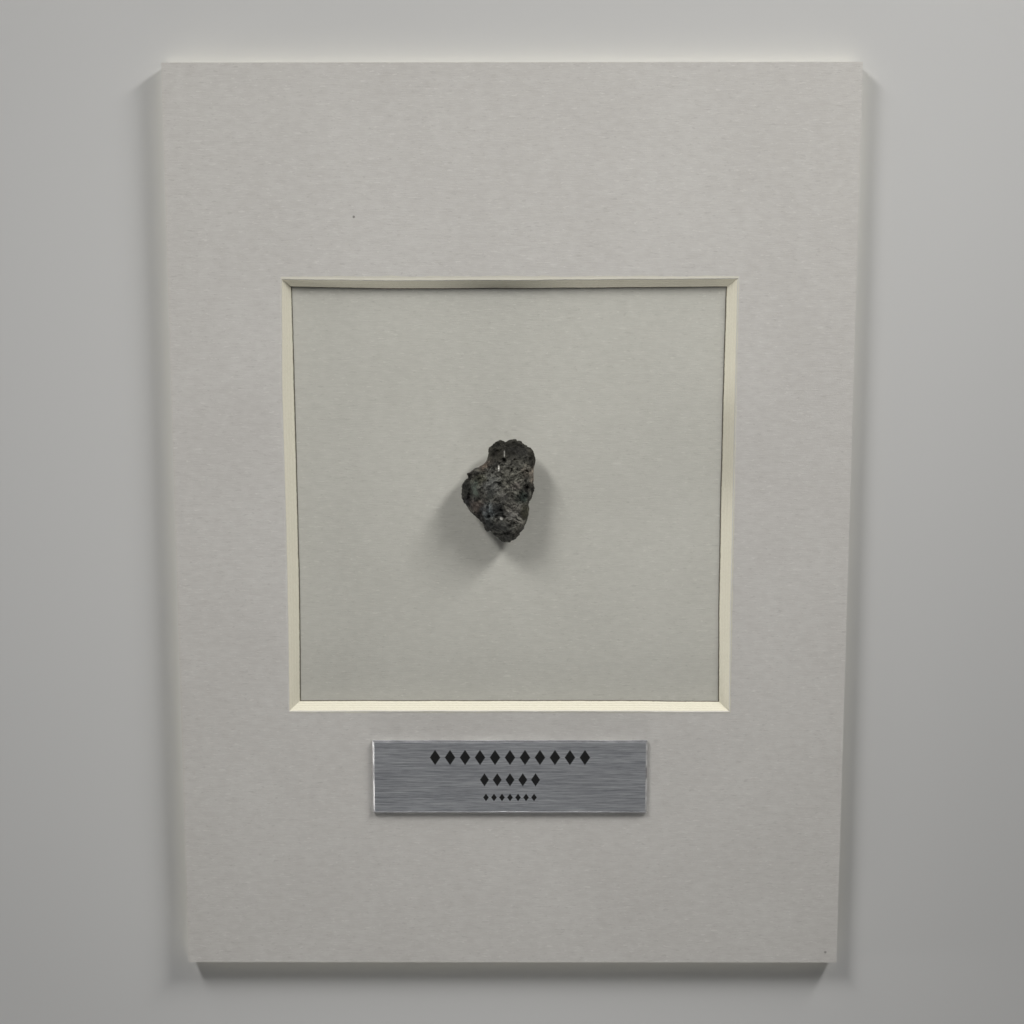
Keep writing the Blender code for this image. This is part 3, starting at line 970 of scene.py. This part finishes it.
# x, y, radius across, radius along, turn, strength, colour
DABS = (
    (1.8, 2.2, 1.8, 1.5, 0, 0.5, (88, 87, 79)), (1.0, 0.6, 2.2, 1.4, 0, 0.6, (86, 85, 78)),
    (-1.2, 0.9, 1.2, 1.4, 0, 0.55, (83, 85, 84)), (1.9, -2.4, 1.4, 1.0, 0, 0.6, (104, 101, 95)),
    (1.2, 5.2, 3.2, 1.3, -5, 0.85, (40, 39, 34)), (1.5, 6.4, 3.2, 0.75, -8, 0.9, (30, 29, 25)),
    (-0.6, 6.1, 1.3, 0.9, 30, 0.9, (28, 27, 23)), (-0.5, 4.8, 1.4, 0.8, 15, 0.9, (38, 36, 30)),
    (2.5, 5.1, 2.0, 0.6, -5, 0.8, (44, 43, 40)), (4.3, 4.7, 0.7, 1.6, 10, 0.8, (38, 36, 30)),
    (-2.0, 3.5, 0.9, 0.5, 35, 0.8, (72, 62, 54)), (-2.9, 1.7, 1.0, 0.7, 10, 0.8, (66, 66, 54)),
    (-3.4, 0.4, 0.5, 1.1, 0, 0.9, (80, 88, 80)), (-4.7, 0.3, 1.0, 1.5, 0, 0.9, (29, 30, 27)),
    (-4.0, 2.2, 1.0, 0.6, 20, 0.9, (30, 28, 25)), (-4.3, -1.5, 0.9, 0.9, -40, 0.9, (28, 28, 30)),
    (-2.9, -2.0, 1.1, 0.9, -30, 0.85, (82, 73, 67)), (-2.5, -3.7, 0.7, 1.4, 50, 0.8, (34, 32, 30)),
    (-1.6, -2.6, 0.9, 1.0, 20, 0.7, (92, 99, 102)), (-1.5, -4.4, 0.6, 1.1, 20, 0.7, (46, 49, 48)),
    (-0.2, -2.6, 0.7, 1.2, 15, 0.75, (44, 46, 46)), (3.0, -0.7, 0.8, 0.9, 0, 0.85, (38, 47, 42)),
    (4.3, 2.1, 0.4, 1.1, 0, 0.85, (128, 119, 108)), (3.4, 2.6, 0.6, 0.8, 0, 0.5, (86, 79, 70)),
    (3.35, -2.9, 0.55, 1.1, 0, 0.85, (66, 65, 52)), (2.6, -4.0, 0.7, 0.5, 0, 0.8, (100, 98, 92)),
    (1.45, -3.1, 0.75, 0.55, 0, 0.9, (120, 118, 113)),
    (-1.35, -0.45, 0.5, 0.75, 0, 0.8, (60, 62, 58)),
    (0.5, -0.6, 0.7, 0.75, 0, 0.7, (88, 87, 83)), (2.1, 0.9, 0.6, 0.55, 0, 0.6, (94, 88, 84)),
    (0.2, -4.7, 1.5, 0.9, 0, 0.8, (50, 51, 49)),
    (0.6, -6.3, 1.8, 0.9, 0, 0.9, (50, 50, 47)), (2.4, -5.7, 0.7, 0.9, 20, 0.5, (60, 57, 52)),
    (4.6, -0.2, 0.4, 1.8, 0, 0.7, (44, 43, 38)), (-1.7, -5.2, 0.5, 0.6, 0, 0.8, (28, 28, 26)),
)
# x, y, radius across, radius along, strength: the small white grains
WHITE_GRAINS = (
    (-0.2, 3.15, 0.12, 0.40, 0.9), (0.55, 5.0, 0.07, 0.50, 0.45), (0.17, -3.52, 0.22, 0.22, 0.9),
)
print(len(DABS), "dabs of colour and", len(WHITE_GRAINS), "white grains")

# %% [markdown]
# The dabs are laid over each other in their order, each with a soft and ragged rim, and go
# into a colour attribute. The grains have a harder rim and go into an attribute of their
# own, because the shader lays them over everything else.

# %% Paint the stone
RAGGED = 0.35


def painted():
    """The dabs laid over each other, as linear colour for each corner."""
    ragged = local + RAGGED * drift(0.5, Vector())
    colour = np.tile(np.array(srgb(*BASE)[:3]), (len(local), 1))
    for x, y, across, along, turn, strength, shade in DABS:
        share = (strength * stroke(x, y, across, along, turn, ragged))[:, None]
        colour = colour * (1 - share) + np.array(srgb(*shade)[:3]) * share
    return colour


def white_grains():
    """The white grains, with a harder rim than the dabs have."""
    found = np.zeros(len(local))
    for x, y, across, along, strength in WHITE_GRAINS:
        hard = np.clip(stroke(x, y, across, along) * 2.2 - 0.5, 0, 1)
        found = np.maximum(found, strength * hard)
    return found


store("paint", np.concatenate([painted(), np.ones((len(local), 1))], axis=1), "FLOAT_COLOR")
store("white_grains", white_grains())
print("the stone's attributes:", [made.name for made in stone.data.attributes][-5:])

# %% [markdown]
# ## The stone's finish
#
# The shader breaks the paint up. Ragged cells of a millimetre are the bits of rock, each a
# little lighter or darker, with dark seams between them, and some of them smooth. Fine
# grain varies the tone and is darker in its own bumped hollows, and the stored relief is
# painted shade in the hollows and pits and a painted highlight on the raised froth. On top
# lies what is pale: crumbs, a vein beside each seam and a froth's thin walls, which the
# smooth patches stay free of, and then the threads and the white grains.

# %% Mix the stone
PALE_GAIN = (2.4, 2.4, 2.35, 1.0)
SMOOTH_LEVEL = 0.95
WHITE = (206, 204, 196)


def stone_finish():
    recipe = Recipe("breccia_stone")
    tint = recipe.attribute("paint", "Color")
    height = recipe.attribute("relief")
    ragged = recipe.drifted(0.6 * MM, 0.9 * MM)
    chance = recipe.node("ShaderNodeSeparateColor")
    recipe.put(recipe.cells(1.0 * MM, place=ragged, output="Color"), chance.inputs["Color"])
    seam = recipe.cells(1.0 * MM, "DISTANCE_TO_EDGE", place=ragged)
    fine = recipe.grain(0.18 * MM, detail=4.0, rough=0.8)
    patchy = recipe.grain(0.55 * MM, detail=3.0, rough=0.6, twist=0.5)
    crumbs = recipe.cells(0.24 * MM)
    skin = recipe.attribute("rough_skin")
    smooth_bits = recipe.spread(chance.outputs["Green"], 0.62, 0.72, 0.0, 0.6)
    smooth = recipe.calc("MAXIMUM", smooth_bits, recipe.spread(skin, 0.25, 0.8, 1.0, 0.0))
    tone_and_relief_shade = recipe.spread(fine, 0.36, 0.64, 0.18, 2.5)
    tone_and_relief_shade = recipe.calc("MULTIPLY", tone_and_relief_shade, recipe.spread(patchy, 0.3, 0.7, 0.7, 1.4))
    # Painted shade and highlight: the stored relief darkens the hollows and pits and lightens the
    # raised froth.
    tone_and_relief_shade = recipe.calc("MULTIPLY", tone_and_relief_shade, recipe.spread(height, 0.15, 0.75, 0.3, 1.4))
    level = recipe.node("ShaderNodeMix", data_type="FLOAT")
    recipe.put(smooth, level.inputs["Factor"])
    recipe.put(tone_and_relief_shade, level.inputs["A"])
    level.inputs["B"].default_value = SMOOTH_LEVEL
    by_chance = recipe.spread(chance.outputs["Red"], 0.0, 1.0, 0.68, 1.36)
    tone_and_relief_shade = recipe.calc("MULTIPLY", level.outputs["Result"], by_chance)
    tone_and_relief_shade = recipe.calc("MULTIPLY", tone_and_relief_shade, recipe.spread(seam, 0.0, 0.07, 0.5, 1.0))
    shade = recipe.mix(1.0, tint, tone_and_relief_shade, "MULTIPLY")
    pale = recipe.calc("MULTIPLY", recipe.spread(crumbs, 0.12, 0.30, 1.0, 0.0),
                       recipe.spread(patchy, 0.46, 0.58))
    beside_seam = recipe.calc("ABSOLUTE", recipe.calc("SUBTRACT", seam, 0.11))
    vein = recipe.spread(beside_seam, 0.0, 0.035, 0.5, 0.0)
    pale = recipe.calc("MAXIMUM", recipe.calc("MULTIPLY", pale, 0.65),
                       recipe.calc("MULTIPLY", vein, recipe.spread(patchy, 0.4, 0.55)))
    bubbly = recipe.drifted(0.35 * MM, 0.35 * MM)
    wall = recipe.cells(0.62 * MM, "DISTANCE_TO_EDGE", place=bubbly)
    rim = recipe.calc("MULTIPLY", recipe.spread(wall, 0.03, 0.11, 0.7, 0.0),
                      recipe.spread(recipe.grain(1.1 * MM, detail=2.0), 0.44, 0.56))
    pale = recipe.calc("MULTIPLY", recipe.calc("MAXIMUM", pale, rim), skin)
    threads_here = recipe.calc("MULTIPLY", recipe.attribute("veins"), 0.8)
    pale = recipe.calc("MAXIMUM", pale, threads_here)
    lighter = recipe.mix(1.0, tint, PALE_GAIN, "MULTIPLY")
    shade = recipe.mix(pale, shade, lighter)
    shade = recipe.mix(recipe.attribute("white_grains"), shade, srgb(*WHITE))
    roughness = recipe.spread(height, 0.2, 0.8, 0.9, 0.55)
    coarse = recipe.bump(crumbs, 0.03 * MM)
    return recipe.finish(shade, roughness, recipe.bump(fine, 0.07 * MM, coarse), gloss=0.2)


stone.data.materials.append(stone_finish())
activate(stone)
bpy.ops.object.shade_smooth()
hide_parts("meteorite")
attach(stone, ROOT)
print("the stone has", len(stone.data.polygons), "faces")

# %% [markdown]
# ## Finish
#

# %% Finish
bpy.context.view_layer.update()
deselect_all()
